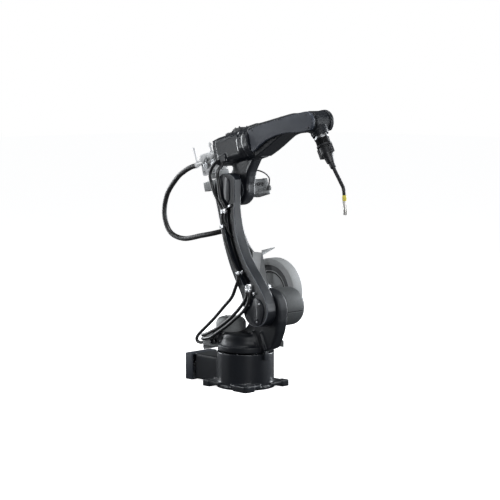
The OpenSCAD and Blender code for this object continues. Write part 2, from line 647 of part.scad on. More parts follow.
// ---------- tool ----------
module tool_flange() color([0.70, 0.71, 0.72]) on_tool() difference() {
  union() {
    translate([0, 0, 73.3]) cylinder(r = 31.5, h = 6.7);
    translate([0, 0, 80]) cylinder(r = 36, h = 8);
  }
  for (a = [45:90:315]) rotate(a) translate([25, 0, 70]) cylinder(r = 2.6, h = 30);
}
module collision_boot() color([0.06, 0.06, 0.06]) on_tool() rotate_extrude() polygon(
  [[0, 88], [34, 88], [36, 92], [33, 95], [30, 98], [33, 101], [34.5, 104], [31, 107],
   [28, 110], [31, 113], [32, 116], [30, 120], [0, 120]]);
module on_neck() { translate([0, 0, 200]) rotate([0, -7.5, 0]) children(); }
module torch_mount() color([0.12, 0.12, 0.13]) on_tool() {
  difference() {
    union() {
      translate([0, 0, 120]) cylinder(r = 38, h = 10);
      rotate_extrude() polygon([[0, 130], [30, 130], [30, 168], [26, 178], [22, 190],
        [18, 214], [0, 214]]);
      // clamp ears
      box(-40, -12, 134, -22, 12, 172);
      box(22, -14, 130, 44, 14, 178);
    }
    on_neck() translate([0, 0, -30]) cylinder(r = neck_r, h = 80);
    for (z = [142, 162]) bar_y(3, -20, 20, -33, z);
  }
}
bend_r = 45;
neck_len = 146;
module swan_neck() color([0.09, 0.09, 0.10]) on_tool() on_neck() {
  translate([0, 0, -28]) cylinder(r = neck_r, h = 28 + neck_len);
  translate([0, 0, 17]) cylinder(r = neck_r + 5, h = 26);
  translate([bend_r, 0, neck_len]) rotate([90, 0, 0]) mirror([1, 0, 0])
    rotate_extrude(angle = neck_bend) translate([bend_r, 0]) circle(r = neck_r);
  after_bend() translate([0, 0, -0.01]) cylinder(r = neck_r - 1, h = 22);
}
module after_bend() {
  translate([bend_r * (1 - cos(neck_bend)), 0, neck_len + bend_r * sin(neck_bend)])
    rotate([0, neck_bend, 0]) children();
}
module insulator_ring() color([0.93, 0.84, 0.10]) on_tool() on_neck() after_bend()
  difference() {
    translate([0, 0, 22]) cylinder(r = 10.2, h = 27);
    translate([0, 0, 46]) cylinder(r = 8, h = 6);
  }
module gas_nozzle() color([0.74, 0.70, 0.66]) on_tool() on_neck() after_bend()
  difference() {
    translate([0, 0, 49.2]) cylinder(r = nozzle_r, h = nozzle_len);
    translate([0, 0, 54]) cylinder(r = nozzle_r - 2.2, h = nozzle_len);
    translate([0, 0, 40]) cylinder(r = 5, h = 30);
  }
module contact_tip() color([0.80, 0.50, 0.32]) on_tool() on_neck() after_bend() {
  translate([0, 0, 49.2]) cylinder(r = 4.9, h = 26);
  translate([0, 0, 75.2]) cylinder(r = 3.5, h = 32);
  translate([0, 0, 107.2]) cylinder(r = 0.6, h = 12);
}

// ---------- hoses and cables ----------
module conduit_upper() color([0.07, 0.07, 0.07]) hose(route_conduit_upper, conduit_d, 10);
module conduit_lower() color([0.07, 0.07, 0.07]) hose(route_conduit_lower, conduit_d, 10);
module base_harness() color([0.06, 0.06, 0.07]) {
  hose(route_a, cable_d);
  hose(route_b1, cable_d);
  hose(route_b2, cable_d);
}
module elbow_cables() color([0.06, 0.06, 0.07]) {
  hose(route_c1, cable_d);
  hose(route_c2, cable_d);
}

base_casting();
rear_panel();
base_connectors();
j1_reducer();
turret_casting();
j1_motor();
j1_motor_cover();
cable_entry_bracket();
cable_glands();
turret_stop();
j2_reducer();
j2_motor();
j2_cover_upper();
j2_cover_lower();
spool_bracket();
spool_cover();
spool_axle();
wire_spool();
spool_wire();
upper_arm_casting();
j2_arm_cap();
j3_arm_cap();
cable_clamps();
arm_fittings();
arm_cables();
elbow_casting();
elbow_rear_cover();
elbow_top_plates();
j3_motor();
j3_motor_cable();
j4_motor();
feeder_bracket();
feeder_plate();
feeder_motor();
feeder_guides();
drive_roll_front();
drive_roll_rear();
pressure_roll_front();
pressure_roll_rear();
pressure_arm_front();
pressure_arm_rear();
tension_lever_front();
tension_lever_rear();
forearm_casting();
forearm_near_cover();
forearm_far_cover();
j5_motor();
j6_motor();
wrist_housing();
tool_flange();
collision_boot();
torch_mount();
swan_neck();
insulator_ring();
gas_nozzle();
contact_tip();
conduit_upper();
conduit_lower();
base_harness();
elbow_cables();
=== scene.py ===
import json
import math

import bmesh
import bpy
from mathutils import Matrix, Vector

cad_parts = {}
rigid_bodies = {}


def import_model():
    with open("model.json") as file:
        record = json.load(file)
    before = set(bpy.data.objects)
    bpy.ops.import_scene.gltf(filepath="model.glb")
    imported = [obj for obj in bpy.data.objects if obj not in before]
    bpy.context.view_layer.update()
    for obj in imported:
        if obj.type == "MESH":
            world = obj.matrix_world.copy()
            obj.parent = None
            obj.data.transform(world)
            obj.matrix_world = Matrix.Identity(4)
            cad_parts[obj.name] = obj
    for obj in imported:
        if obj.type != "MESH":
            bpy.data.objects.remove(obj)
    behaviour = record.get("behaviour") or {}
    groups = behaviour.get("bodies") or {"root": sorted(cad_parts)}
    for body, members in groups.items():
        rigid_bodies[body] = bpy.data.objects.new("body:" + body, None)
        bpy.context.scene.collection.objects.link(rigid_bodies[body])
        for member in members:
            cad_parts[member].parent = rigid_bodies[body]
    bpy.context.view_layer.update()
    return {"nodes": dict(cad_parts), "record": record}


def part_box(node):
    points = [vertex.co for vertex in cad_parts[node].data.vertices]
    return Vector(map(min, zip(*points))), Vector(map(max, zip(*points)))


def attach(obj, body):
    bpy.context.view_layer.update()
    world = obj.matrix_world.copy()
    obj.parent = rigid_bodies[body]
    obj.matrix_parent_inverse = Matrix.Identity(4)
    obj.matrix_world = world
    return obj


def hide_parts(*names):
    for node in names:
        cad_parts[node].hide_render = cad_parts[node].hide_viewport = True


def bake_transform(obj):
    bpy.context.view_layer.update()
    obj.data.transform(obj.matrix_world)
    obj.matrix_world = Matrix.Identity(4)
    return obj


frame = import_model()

NODES = frame["nodes"]
SLOT_OF = {s["node"]: s["material_slot"] for s in frame["record"]["subparts"]}
BODY_OF = {n: b for b, ns in frame["record"]["behaviour"]["bodies"].items() for n in ns}

# main places of the robot, in metres
J2 = Vector((0.162, 0, 0.408))
J3 = Vector((-0.044, 0, 0.989))
PITCH = math.radians(15)
LEAN = math.radians(27)
J4 = Vector((-0.044 - 0.2 * math.sin(PITCH), 0, 0.989 + 0.2 * math.cos(PITCH)))
J5 = J4 + 0.588 * Vector((math.cos(PITCH), 0, math.sin(PITCH)))
# forearm frame: x along the roll axis; tool frame: z along the tool axis
FOREARM = Matrix.Translation(J4) @ Matrix.Rotation(-PITCH, 4, "Y")
TOOL = Matrix.Translation(J5) @ Matrix.Rotation(math.pi - LEAN, 4, "Y")
NECK = TOOL @ Matrix.Translation((0, 0, 0.2)) @ Matrix.Rotation(math.radians(-7.5), 4, "Y")
DRUM = Vector((0, 0, 0.464))

# ---------------------------------------------------------------- camera
cam_data = bpy.data.cameras.new("camera")
cam_data.lens = 116.64
cam_data.sensor_width = 36
cam_data.sensor_fit = "HORIZONTAL"
cam_data.clip_end = 200
cam = bpy.data.objects.new("camera", cam_data)
bpy.context.scene.collection.objects.link(cam)
aim = Vector((0.0152, 0.0152, 0.6868))
az, el = math.radians(45), math.radians(6)
back = Vector((math.sin(az) * math.cos(el), -math.cos(az) * math.cos(el), math.sin(el)))
cam.location = aim + back * 8.1
cam.rotation_euler = (-back).to_track_quat("-Z", "Y").to_euler()
bpy.context.scene.camera = cam
bpy.context.view_layer.update()


# ---------------------------------------------------------------- materials
def node(nt, kind, x=0, y=0, **sockets):
    n = nt.nodes.new(kind)
    n.location = (x, y)
    for k, v in sockets.items():
        n.inputs[k.replace("_", " ")].default_value = v
    return n


def finish_of(name, base, rough, metallic=0.0, vary=0.18, vary_scale=18.0, grain=900.0,
              grain_depth=0.10, bump=0.0002, edge_wear_and_highlight=None, edge_wear_and_highlight_amount=0.5, rough_vary=0.10,
              coat=0.0, coat_rough=0.2, specular=0.5, brushed=None, speckle=0.0):
    """A layered procedural finish: blotchy colour, fine grain bump, uneven gloss, paler edges (worn paint, and a
    painted highlight where the edge colour is pale and strong).
    """
    m = bpy.data.materials.new(name)
    m.use_nodes = True
    nt = m.node_tree
    nt.nodes.clear()
    out = node(nt, "ShaderNodeOutputMaterial", 900)
    bsdf = node(nt, "ShaderNodeBsdfPrincipled", 600)
    nt.links.new(bsdf.outputs["BSDF"], out.inputs["Surface"])
    bsdf.inputs["Metallic"].default_value = metallic
    bsdf.inputs["Specular IOR Level"].default_value = specular
    bsdf.inputs["Coat Weight"].default_value = coat
    bsdf.inputs["Coat Roughness"].default_value = coat_rough
    tc = node(nt, "ShaderNodeTexCoord", -1100)
    vec = tc.outputs["Object"]
    if brushed:
        mp = node(nt, "ShaderNodeMapping", -900, 100)
        mp.inputs["Scale"].default_value = brushed
        nt.links.new(vec, mp.inputs["Vector"])
        vec_g = mp.outputs["Vector"]
    else:
        vec_g = vec
    # slow colour variation
    n1 = node(nt, "ShaderNodeTexNoise", -700, 300, Scale=vary_scale, Detail=5.0, Roughness=0.6)
    nt.links.new(vec, n1.inputs["Vector"])
    r1 = node(nt, "ShaderNodeValToRGB", -500, 300)
    lo = [max(0.0, c * (1 - vary)) for c in base]
    hi = [min(1.0, c * (1 + vary)) for c in base]
    r1.color_ramp.elements[0].position = 0.32
    r1.color_ramp.elements[0].color = (*lo, 1)
    r1.color_ramp.elements[1].position = 0.68
    r1.color_ramp.elements[1].color = (*hi, 1)
    nt.links.new(n1.outputs["Fac"], r1.inputs["Fac"])
    colour = r1.outputs["Color"]
    # fine grain
    n2 = node(nt, "ShaderNodeTexNoise", -700, -100, Scale=grain, Detail=3.0, Roughness=0.55)
    nt.links.new(vec_g, n2.inputs["Vector"])
    if speckle:
        r3 = node(nt, "ShaderNodeValToRGB", -300, 120)
        r3.color_ramp.elements[0].position = 0.35
        r3.color_ramp.elements[0].color = (1 - speckle, 1 - speckle, 1 - speckle, 1)
        r3.color_ramp.elements[1].position = 0.65
        r3.color_ramp.elements[1].color = (1, 1, 1, 1)
        n4 = node(nt, "ShaderNodeTexNoise", -500, 100, Scale=grain * 0.35, Detail=2.0, Roughness=0.5)
        nt.links.new(vec, n4.inputs["Vector"])
        nt.links.new(n4.outputs["Fac"], r3.inputs["Fac"])
        mul = nt.nodes.new("ShaderNodeMix")
        mul.data_type, mul.blend_type = "RGBA", "MULTIPLY"
        mul.inputs[0].default_value = 1.0
        nt.links.new(colour, mul.inputs[6])
        nt.links.new(r3.outputs["Color"], mul.inputs[7])
        colour = mul.outputs[2]
    # paler edges: worn paint, and a painted highlight along the edges where the edge colour is pale and strong
    if edge_wear_and_highlight:
        geo = node(nt, "ShaderNodeNewGeometry", -900, 600)
        n3 = node(nt, "ShaderNodeTexNoise", -900, 500, Scale=70.0, Detail=4.0, Roughness=0.7)
        nt.links.new(vec, n3.inputs["Vector"])
        add = node(nt, "ShaderNodeMath", -700, 600)
        add.operation = "MULTIPLY_ADD"
        add.inputs[1].default_value = 0.05
        nt.links.new(n3.outputs["Fac"], add.inputs[0])
        nt.links.new(geo.outputs["Pointiness"], add.inputs[2])
        r2 = node(nt, "ShaderNodeValToRGB", -500, 600)
        r2.color_ramp.elements[0].position = 0.545
        r2.color_ramp.elements[0].color = (0, 0, 0, 1)
        r2.color_ramp.elements[1].position = 0.62
        r2.color_ramp.elements[1].color = (edge_wear_and_highlight_amount, edge_wear_and_highlight_amount, edge_wear_and_highlight_amount, 1)
        nt.links.new(add.outputs[0], r2.inputs["Fac"])
        mx = nt.nodes.new("ShaderNodeMix")
        mx.data_type = "RGBA"
        mx.location = (0, 300)
        nt.links.new(r2.outputs["Color"], mx.inputs[0])
        nt.links.new(colour, mx.inputs[6])
        mx.inputs[7].default_value = (*edge_wear_and_highlight, 1)
        colour = mx.outputs[2]
    nt.links.new(colour, bsdf.inputs["Base Color"])
    # uneven gloss
    n5 = node(nt, "ShaderNodeTexNoise", -500, -400, Scale=vary_scale * 2.3, Detail=6.0, Roughness=0.7)
    nt.links.new(vec, n5.inputs["Vector"])
    mr = node(nt, "ShaderNodeMapRange", -250, -400)
    mr.inputs["From Min"].default_value = 0.3
    mr.inputs["From Max"].default_value = 0.7
    mr.inputs["To Min"].default_value = max(0.02, rough - rough_vary)
    mr.inputs["To Max"].default_value = min(1.0, rough + rough_vary)
    nt.links.new(n5.outputs["Fac"], mr.inputs["Value"])
    nt.links.new(mr.outputs["Result"], bsdf.inputs["Roughness"])
    bp = node(nt, "ShaderNodeBump", 250, -200)
    bp.inputs["Strength"].default_value = grain_depth
    bp.inputs["Distance"].default_value = bump
    nt.links.new(n2.outputs["Fac"], bp.inputs["Height"])
    nt.links.new(bp.outputs["Normal"], bsdf.inputs["Normal"])
    return m


MAT = {
    "black_paint": finish_of("black_paint", (0.0085, 0.0105, 0.0145), 0.34, vary=0.12, grain=900,
                             grain_depth=0.04, bump=0.0001, edge_wear_and_highlight=(0.045, 0.05, 0.06), edge_wear_and_highlight_amount=0.4,
                             rough_vary=0.03, coat=0.35, coat_rough=0.10),
    "cover_paint": finish_of("cover_paint", (0.036, 0.043, 0.060), 0.42, vary=0.10, grain=1200,
                             grain_depth=0.12, edge_wear_and_highlight=(0.09, 0.10, 0.12), rough_vary=0.05),
    "grey_cover": finish_of("grey_cover", (0.088, 0.094, 0.095), 0.50, vary=0.08, vary_scale=9, grain=620,
                            grain_depth=0.45, bump=0.0005, edge_wear_and_highlight=(0.24, 0.24, 0.24), edge_wear_and_highlight_amount=0.4,
                            speckle=0.22),
    "grey_sheet": finish_of("grey_sheet", (0.165, 0.174, 0.176), 0.46, vary=0.08, grain=700, grain_depth=0.30,
                            bump=0.0003, edge_wear_and_highlight=(0.42, 0.42, 0.42), edge_wear_and_highlight_amount=0.7, speckle=0.15),
    "silver": finish_of("silver", (0.62, 0.63, 0.64), 0.28, metallic=1.0, vary=0.10, grain=260,
                        grain_depth=0.25, brushed=(1, 1, 14), edge_wear_and_highlight=(0.9, 0.9, 0.9), edge_wear_and_highlight_amount=0.6),
    "steel": finish_of("steel", (0.46, 0.47, 0.48), 0.30, metallic=1.0, vary=0.12, grain=300,
                       grain_depth=0.25, brushed=(1, 14, 1), edge_wear_and_highlight=(0.8, 0.8, 0.8), edge_wear_and_highlight_amount=0.6),
    "motor_black": finish_of("motor_black", (0.012, 0.012, 0.014), 0.36, vary=0.15, grain=900,
                             grain_depth=0.2, edge_wear_and_highlight=(0.06, 0.06, 0.065), coat=0.1),
    "black_plastic": finish_of("black_plastic", (0.012, 0.012, 0.014), 0.42, vary=0.15, grain=900,
                               grain_depth=0.3, edge_wear_and_highlight=(0.05, 0.05, 0.052)),
    "black_rubber": finish_of("black_rubber", (0.0100, 0.0100, 0.0110), 0.36, vary=0.2, vary_scale=30,
                              grain=500, grain_depth=0.04, bump=0.0001, rough_vary=0.02, specular=0.65),
    "grey_plastic": finish_of("grey_plastic", (0.22, 0.225, 0.23), 0.45, vary=0.08, grain=700,
                              grain_depth=0.25, edge_wear_and_highlight=(0.38, 0.38, 0.39)),
    "drum_plastic": finish_of("drum_plastic", (0.345, 0.352, 0.350), 0.50, vary=0.07, vary_scale=8, grain=520,
                              grain_depth=0.45, bump=0.0005, edge_wear_and_highlight=(0.42, 0.42, 0.42), edge_wear_and_highlight_amount=0.4,
                              speckle=0.16),
    "spool_plastic": finish_of("spool_plastic", (0.30, 0.31, 0.31), 0.45, vary=0.12, grain=600,
                               grain_depth=0.3, edge_wear_and_highlight=(0.2, 0.2, 0.2)),
    "wire_copper": finish_of("wire_copper", (0.62, 0.30, 0.16), 0.30, metallic=1.0, vary=0.2, grain=500,
                             grain_depth=0.2),
    "yellow_plastic": finish_of("yellow_plastic", (0.72, 0.60, 0.045), 0.36, vary=0.12, grain=800,
                                grain_depth=0.2, edge_wear_and_highlight=(0.85, 0.78, 0.3)),
    "nozzle_steel": finish_of("nozzle_steel", (0.62, 0.60, 0.57), 0.34, metallic=0.7, vary=0.05,
                              vary_scale=60, grain=500, grain_depth=0.2, edge_wear_and_highlight=(0.9, 0.88, 0.85)),
    "brass": finish_of("brass", (0.72, 0.69, 0.60), 0.30, metallic=1.0, vary=0.12, grain=500, grain_depth=0.2),
}
# a lighter, rougher copy of the grey cover paint for the J1 motor cover, also used on the cable-entry hood: the extra
# lightness is painted light, making up for the light the J1 cover lacks under these lamps
GREY_COVER_PAINTED_LIGHTER = finish_of("grey_cover_textured", (0.30, 0.31, 0.31), 0.58, vary=0.08, vary_scale=9, grain=420,
                     grain_depth=0.6, bump=0.0008, edge_wear_and_highlight=(0.3, 0.3, 0.3), edge_wear_and_highlight_amount=0.3, speckle=0.22)
PALE_METAL = finish_of("pale_metal", (0.90, 0.90, 0.90), 0.36, metallic=0.0, vary=0.05, grain=260,
                       grain_depth=0.2, brushed=(1, 1, 14), edge_wear_and_highlight=(0.95, 0.95, 0.95), edge_wear_and_highlight_amount=0.5)
DULL_BLACK = finish_of("dull_black", (0.0075, 0.0092, 0.0125), 0.44, vary=0.12, grain=900, grain_depth=0.05,
                       bump=0.0001, edge_wear_and_highlight=(0.04, 0.045, 0.055), edge_wear_and_highlight_amount=0.4, rough_vary=0.04, specular=0.38)
# arm paint: black paint whose pale, full-strength edge colour paints a highlight along the ridge and edges of the
# upper arm
ARM_PAINT_EDGE_HIGHLIGHT = finish_of("arm_paint", (0.0085, 0.0105, 0.0145), 0.34, vary=0.12, grain=900, grain_depth=0.04,
                      bump=0.0001, edge_wear_and_highlight=(0.30, 0.33, 0.37), edge_wear_and_highlight_amount=1.0, rough_vary=0.03, coat=0.25,
                      coat_rough=0.12)
SHEATH = finish_of("conduit_sheath", (0.0135, 0.0132, 0.0130), 0.42, vary=0.15, vary_scale=30, grain=400,
                   grain_depth=0.04, bump=0.0001, rough_vary=0.02, specular=0.7)
# pale paint for the bead along the upper arm's front edge: a painted highlight
HIGHLIGHT_BEAD_PAINT = finish_of("edge_paint", (0.15, 0.165, 0.185), 0.30, vary=0.10, grain=900, edge_wear_and_highlight=(0.4, 0.4, 0.42))
# rear panel paint, lighter than the black casting: painted light for the light falling on the panel's near side
PANEL_PAINT_LIT = finish_of("panel_paint", (0.030, 0.036, 0.048), 0.36, vary=0.10, grain=900, edge_wear_and_highlight=(0.10, 0.11, 0.12))
MOTOR_GREY = finish_of("motor_grey", (0.10, 0.105, 0.108), 0.45, vary=0.1, grain=700, grain_depth=0.3,
                       edge_wear_and_highlight=(0.2, 0.2, 0.2), speckle=0.2)
# dark grey for painted shade: the ring seen in the drum's window and the bores of the feeder plate
SHADE_GREY = finish_of("spool_dark", (0.055, 0.058, 0.060), 0.45, vary=0.1, grain=600, grain_depth=0.3)
# black for the ring on the spool flange's raised rim: painted shade standing in for the dark groove there
RIM_SHADE_BLACK = finish_of("seam_black", (0.003, 0.003, 0.003), 0.7, vary=0.3)

for n, ob in NODES.items():
    ob.data.materials.clear()
    ob.data.materials.append(MAT[SLOT_OF[n]])


# ---------------------------------------------------------------- mesh helpers
def link(name, bm, slot, body=None, angle=36, mat=None):
    me = bpy.data.meshes.new(name)
    bmesh.ops.recalc_face_normals(bm, faces=bm.faces)
    bm.to_mesh(me)
    bm.free()
    for p in me.polygons:
        p.use_smooth = True
    me.set_sharp_from_angle(angle=math.radians(angle))
    me.materials.append(mat or MAT[slot])
    ob = bpy.data.objects.new(name, me)
    bpy.context.scene.collection.objects.link(ob)
    if body:
        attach(ob, body)
    return ob


def welded(nodes, flat=0.6):
    """One welded mesh of these CAD nodes, with its flat faces whole."""
    bm = bmesh.new()
    for n in nodes:
        me = NODES[n].data.copy()
        me.transform(NODES[n].matrix_world)
        bm.from_mesh(me)
        bpy.data.meshes.remove(me)
    bmesh.ops.remove_doubles(bm, verts=bm.verts, dist=3e-6)
    if flat:
        bmesh.ops.dissolve_limit(bm, angle_limit=math.radians(flat), use_dissolve_boundaries=False,
                                 verts=bm.verts, edges=bm.edges)
    return bm


def crisp(n, width=0.0012, segments=2, min_angle=32, slot=None):
    """A CAD node with its edges broken, as a finished piece in its place."""
    bm = welded([n])
    edges = [e for e in bm.edges if len(e.link_faces) == 2
             and e.calc_face_angle(0) > math.radians(min_angle)]
    if edges:
        bmesh.ops.bevel(bm, geom=edges, offset=width, offset_type="OFFSET", segments=segments,
                        profile=0.6, affect="EDGES", clamp_overlap=True)
    ob = link(n + "_finished", bm, slot or SLOT_OF[n], BODY_OF[n])
    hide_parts(n)
    return ob


def cast(n, voxel=0.0028, rounds=6, extra=None, factor=0.5, zones=()):
    """A CAD node as one casting: its corners run into each other in soft fillets."""
    bm = welded([n], flat=0)
    if extra:
        extra(bm)
    me = bpy.data.meshes.new(n + "_raw")
    bm.to_mesh(me)
    bm.free()
    tmp = bpy.data.objects.new(n + "_raw", me)
    bpy.context.scene.collection.objects.link(tmp)
    rm = tmp.modifiers.new("skin", "REMESH")
    rm.mode, rm.voxel_size, rm.adaptivity = "VOXEL", voxel, 0
    sm = tmp.modifiers.new("fillet", "SMOOTH")
    sm.factor, sm.iterations = factor, rounds
    dg = bpy.context.evaluated_depsgraph_get()
    made = bpy.data.meshes.new_from_object(tmp.evaluated_get(dg))
    bpy.data.objects.remove(tmp)
    bpy.data.meshes.remove(me)
    made.name = n + "_cast"
    if zones:
        # broad, soft shapes: more rounding where weight(co) is above nought
        tmp = bpy.data.objects.new(n + "_zones", made)
        bpy.context.scene.collection.objects.link(tmp)
        for i, (more, weight) in enumerate(zones):
            g = tmp.vertex_groups.new(name="zone%d" % i)
            for v in made.vertices:
                w = weight(v.co)
                if w > 0:
                    g.add([v.index], min(1.0, w), "REPLACE")
            sm = tmp.modifiers.new("soft%d" % i, "SMOOTH")
            sm.factor, sm.iterations, sm.vertex_group = factor, more, g.name
        bpy.context.view_layer.update()
        soft = bpy.data.meshes.new_from_object(tmp.evaluated_get(bpy.context.evaluated_depsgraph_get()))
        bpy.data.objects.remove(tmp)
        bpy.data.meshes.remove(made)
        made = soft
        made.name = n + "_cast"
    for p in made.polygons:
        p.use_smooth = True
    made.materials.clear()
    made.materials.append(MAT[SLOT_OF[n]])
    ob = bpy.data.objects.new(n + "_cast", made)
    bpy.context.scene.collection.objects.link(ob)
    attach(ob, BODY_OF[n])
    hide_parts(n)
    return ob


def turn(bm, profile, m, n=32):
    """Spins a closed (r, z) outline round z, then places it by m."""
    rings = []
    for k in range(n):
        a = 2 * math.pi * k / n
        rings.append([bm.verts.new(m @ Vector((r * math.cos(a), r * math.sin(a), z)))
                      if r > 1e-9 else None for r, z in profile])
    poles = {i: bm.verts.new(m @ Vector((0, 0, z))) for i, (r, z) in enumerate(profile) if r <= 1e-9}
    for k in range(n):
        a, b = rings[k], rings[(k + 1) % n]
        for i in range(len(profile) - 1):
            q = [a[i] or poles[i], b[i] or poles[i], b[i + 1] or poles[i + 1], a[i + 1] or poles[i + 1]]
            u = []
            for v in q:
                if v not in u:
                    u.append(v)
            if len(u) > 2:
                bm.faces.new(u)


def plate(bm, outline, h, m, edge=0.0008):
    """A flat piece of this (x, y) outline, h thick, with a broken top edge, placed by m."""
    n = len(outline)
    c = Vector((sum(p[0] for p in outline) / n, sum(p[1] for p in outline) / n))
    inner = []
    for p in outline:
        d = Vector(p) - c
        inner.append(tuple(c + d * max(0.0, 1 - edge / max(d.length, 1e-6))))
    lo = [bm.verts.new(m @ Vector((x, y, 0))) for x, y in outline]
    mid = [bm.verts.new(m @ Vector((x, y, h - edge))) for x, y in outline]
    top = [bm.verts.new(m @ Vector((x, y, h))) for x, y in inner]
    for k in range(n):
        j = (k + 1) % n
        bm.faces.new((lo[k], lo[j], mid[j], mid[k]))
        bm.faces.new((mid[k], mid[j], top[j], top[k]))
    bm.faces.new(top)
    bm.faces.new(list(reversed(lo)))


def ring_of(n, r, a0=0.0):
    return [(r * math.cos(a0 + 2 * math.pi * k / n), r * math.sin(a0 + 2 * math.pi * k / n)) for k in range(n)]


def rounded(x0, y0, x1, y1, r, n=6):
    pts = []
    for cx, cy, a in ((x1 - r, y1 - r, 0), (x0 + r, y1 - r, 90), (x0 + r, y0 + r, 180), (x1 - r, y0 + r, 270)):
        for k in range(n + 1):
            t = math.radians(a + 90 * k / n)
            pts.append((cx + r * math.cos(t), cy + r * math.sin(t)))
    return pts


def facing(p, d, spin=0.0):
    """A frame at p whose z points along d."""
    q = Vector(d).normalized().to_track_quat("Z", "Y")
    return Matrix.Translation(Vector(p)) @ q.to_matrix().to_4x4() @ Matrix.Rotation(spin, 4, "Z")


def cap_screw(bm, p, d, r=0.005, h=None):
    """Socket cap screw: washer, round head, round socket."""
    h = h or r * 1.0
    m = facing(p, d)
    turn(bm, [(0, -0.001), (r * 1.35, -0.001), (r * 1.35, 0.0006), (r * 1.25, 0.0011), (0, 0.0011)], m, 24)
    turn(bm, [(0, 0), (r, 0), (r, h * 0.82), (r * 0.88, h), (r * 0.5, h), (r * 0.46, h * 0.5), (0, h * 0.42)], m, 24)


def hex_head(bm, p, d, r=0.008, h=0.006):
    m = facing(p, d)
    turn(bm, [(0, -0.001), (r * 1.45, -0.001), (r * 1.45, 0.001), (r * 1.35, 0.0016), (0, 0.0016)], m, 28)
    plate(bm, ring_of(6, r * 1.12), h, m, edge=r * 0.14)


def cr(a, b, c, d, t):
    return 0.5 * (2 * b + (c - a) * t + (2 * a - 5 * b + 4 * c - d) * t * t + (3 * b - a - 3 * c + d) * t ** 3)


def spline(points, k):
    p = [Vector(q) / 1000 for q in points]
    out = []
    for i in range(len(p) - 1):
        for j in range(k):
            out.append(cr(p[max(i - 1, 0)], p[i], p[i + 1], p[min(i + 2, len(p) - 1)], j / k))
    return out + [p[-1]]


def tube(name, path, d, slot, body=None, n=20, ribs=None):
    """A round tube along a path, turned so that it never twists. Returns the piece."""
    bm = bmesh.new()
    tang = [(path[min(i + 1, len(path) - 1)] - path[max(i - 1, 0)]).normalized() for i in range(len(path))]
    u = tang[0].orthogonal().normalized()
    prev = None
    for i, (p, t) in enumerate(zip(path, tang)):
        u = (u - t * u.dot(t)).normalized()
        w = t.cross(u)
        r = d / 2
        ring = [bm.verts.new(p + r * (math.cos(2 * math.pi * k / n) * u + math.sin(2 * math.pi * k / n) * w))
                for k in range(n)]
        if prev:
            for k in range(n):
                bm.faces.new((prev[k], prev[(k + 1) % n], ring[(k + 1) % n], ring[k]))
        else:
            bm.faces.new(list(reversed(ring)))
        prev = ring
    bm.faces.new(prev)
    return link(name, bm, slot, body, angle=50)


# ---------------------------------------------------------------- hoses and cables
ROUTES = {
    "conduit_loop": [(-344.6, -11, 1097), (-384, -13, 1087), (-432, -16, 1064), (-488, -17, 1026),
                     (-563, -18, 938), (-585, -18, 832), (-540, -19, 744), (-436, -20, 716),
                     (-304, -18, 740), (-236, -8, 754), (-190, 8, 766), (-160, 25, 774), (-150, 33, 775.6)],
    "conduit_drop": [(-146.8, 36, 776), (-134, 50, 776), (-124, 72, 771), (-130, 100, 756), (-142, 126, 732),
                     (-152, 150, 704), (-154, 172, 676), (-145, 189, 648), (-130, 198, 623.4),
                     (-115, 207, 599)],
    "harness_a": [(-236, -56, 204), (-264, -59, 196), (-290, -60, 200), (-294, -60, 220), (-272, -58, 246),
                  (-178, -56, 324), (-94, -66, 394), (-12, -86, 456), (31, -104.5, 505), (53, -108, 546),
                  (59, -109, 574)],
    "harness_b1": [(-236, -27, 206), (-250, -30, 208), (-254, -44, 214), (-245, -68, 219), (-212, -87, 226),
                   (-150, -101, 240), (-88, -102, 276), (-26, -104, 313), (28, -105, 352), (86, -109, 392),
                   (124, -111, 435), (136, -110, 470), (135, -110, 493.4)],
    "harness_b2": [(-236, -42, 232), (-248, -48, 234), (-245, -66, 237), (-214, -86, 245), (-160, -99, 264),
                   (-104, -101, 290), (-44, -103, 326), (12, -104, 366), (64, -107, 410), (100, -110, 448),
                   (116, -110, 476), (117, -110, 493.4)],
    "elbow_hose_1": [(-90, -70, 1126), (-93, -76, 1108), (-99, -93, 1088), (-91, -109, 1062), (-80, -112, 1030),
                     (-76, -110, 988), (-68, -110, 948), (-46, -110, 918), (-38, -109, 906), (-38, -109, 900.2)],
    "elbow_hose_2": [(-107, -76, 1131), (-126, -87, 1120), (-148, -92, 1094), (-158, -94, 1062),
                     (-146, -99, 1026), (-122, -107, 988), (-98, -109, 952), (-70, -109, 916),
                     (-58, -109, 902), (-58, -109, 894.2)],
    "arm_lead_1": [(-58, -109, 871), (-60, -108, 840), (-57, -107, 808), (-38, -107, 742), (0, -107, 664),
                   (36, -107, 610), (53, -107, 590)],
    "arm_lead_2": [(-38, -109, 875), (-38, -108, 844), (-34, -102, 808), (-24, -88, 772), (-17, -72, 752)],
    "motor_lead": [(40, 37, 1086), (48, 60, 1080), (50, 92, 1066), (42, 124, 1044), (20, 147, 1018),
                   (18, 148, 1004)],
}


def hose(key, d, bodies, nodes, n=20):
    path = spline(ROUTES[key], 8)
    ob = tube(key, path, d, "black_rubber", body=bodies[0] if len(bodies) == 1 else None, n=n)
    if len(bodies) == 2:
        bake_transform(ob)
    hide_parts(*nodes)
    return ob


